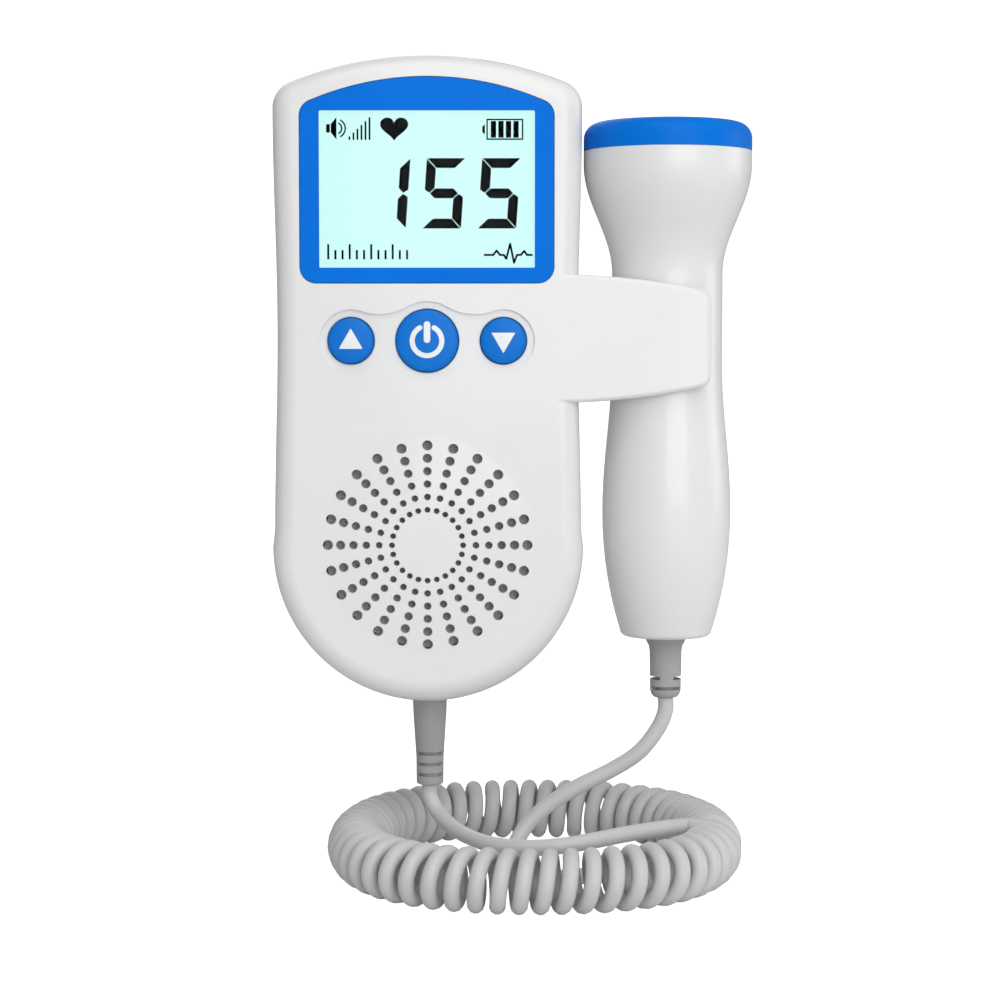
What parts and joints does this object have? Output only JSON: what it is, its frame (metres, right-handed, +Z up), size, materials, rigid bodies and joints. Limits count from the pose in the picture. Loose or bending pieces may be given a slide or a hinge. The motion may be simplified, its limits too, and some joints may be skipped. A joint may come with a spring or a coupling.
{
  "type": "fetal doppler monitor",
  "caption": "Handheld heartbeat monitor with a lit display, round keys and a speaker grille, and a probe that rests in a side clip on a curly lead.",
  "frame": {"origin": "on the flat back of the main unit, on its middle line, above the battery door", "axes": "+Z up towards the crown of the unit, +Y out of the flat back, +X to the right towards the probe clip"},
  "size_m": [0.1011, 0.0894, 0.1741],
  "materials": {
    "shell": "satin white moulded plastic",
    "blue": "smooth bright blue plastic",
    "window": "clear",
    "display": "lit pale cyan liquid crystal display",
    "light_panel": "white diffuser",
    "dark_plastic": "black moulded plastic",
    "board": "green glass-fibre board",
    "steel": "plated steel",
    "cloth": "dark woven cloth",
    "paper": "black paper cone",
    "magnet": "dark ferrite",
    "cell": "plain sleeve",
    "wire": "red insulation",
    "lens": "grey silicone",
    "crystal": "ceramic",
    "lead": "satin light grey sheath",
    "relief": "matt grey moulding"
  },
  "bodies": {
    "unit": {"front_shell": "shell", "rear_shell": "shell", "display_bezel": "blue", "display_window": "window", "lcd_panel": "display", "lcd_backlight": "light_panel", "key_switches": "dark_plastic", "main_circuit_board": "board", "board_screws": "steel", "shell_screws": "steel", "speaker_cloth": "cloth", "speaker_frame": "steel", "speaker_cone": "paper", "speaker_magnet": "magnet", "speaker_wires": "wire", "headphone_socket": "dark_plastic", "battery_cell_left": "cell", "battery_cell_right": "cell", "battery_spring_contacts": "steel", "battery_plate_contacts": "steel", "battery_wires": "wire", "unit_strain_relief": "relief", "cord_unit_lead": "lead", "cord_coil": "lead", "cord_probe_lead": "lead"},
    "power_key": {"power_button": "blue"},
    "volume_up_key": {"volume_up_button": "blue"},
    "volume_down_key": {"volume_down_button": "blue"},
    "door": {"battery_door": "shell"},
    "probe": {"probe_front_shell": "shell", "probe_rear_shell": "shell", "probe_cap": "blue", "acoustic_lens": "lens", "crystal_carrier": "dark_plastic", "transmit_crystal": "crystal", "receive_crystal": "crystal", "probe_circuit_board": "board", "probe_wires": "wire", "probe_strain_relief": "relief"}
  },
  "joints": [
    {"name": "power_press", "type": "slide", "parent": "unit", "child": "power_key", "axis": [0, 1, 0], "range_m": [0, 0.0008], "stiffness_N_per_m": 1500},
    {"name": "volume_up_press", "type": "slide", "parent": "unit", "child": "volume_up_key", "axis": [0, 1, 0], "range_m": [0, 0.0008], "stiffness_N_per_m": 1500},
    {"name": "volume_down_press", "type": "slide", "parent": "unit", "child": "volume_down_key", "axis": [0, 1, 0], "range_m": [0, 0.0008], "stiffness_N_per_m": 1500},
    {"name": "battery_door_hinge", "type": "hinge", "parent": "unit", "child": "door", "pos_m": [0, -0.0011, -0.0694], "axis": [-1, 0, 0], "range_deg": [0, 95]},
    {"name": "probe_pull_out", "type": "slide", "parent": "unit", "child": "probe", "axis": [1, 0, 0], "range_m": [0, 0.045]}
  ]
}
